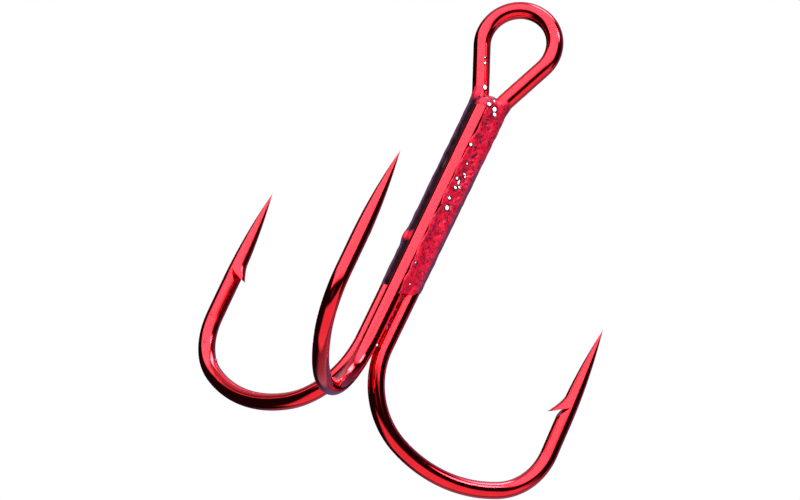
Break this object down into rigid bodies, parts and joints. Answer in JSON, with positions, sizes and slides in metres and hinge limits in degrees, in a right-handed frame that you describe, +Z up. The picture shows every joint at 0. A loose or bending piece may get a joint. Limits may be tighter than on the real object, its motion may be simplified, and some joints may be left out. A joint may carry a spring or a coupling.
{
  "type": "treble hook",
  "caption": "Treble fishing hook: a folded wire makes a teardrop eye and two barbed hooks, and a second wire brazed to its shank makes the third.",
  "frame": {"origin": "centre of the eye's opening, in the plane of the eye", "axes": "+Z up the shank from the bends to the eye, -Y the way the single wire's hook points, X across the eye"},
  "size_m": [0.0278, 0.0265, 0.0348],
  "materials": {
    "lacquered_wire": "glossy transparent red lacquer over bright plated steel wire, almost black where it mirrors dark surroundings",
    "lacquered_braze": "the same red lacquer over frozen braze: lumpy and finely pitted, with a few bright bare specks"
  },
  "bodies": {
    "root": {"double_hook_wire": "lacquered_wire", "single_hook_wire": "lacquered_wire", "braze_seam": "lacquered_braze"}
  },
  "joints": []
}
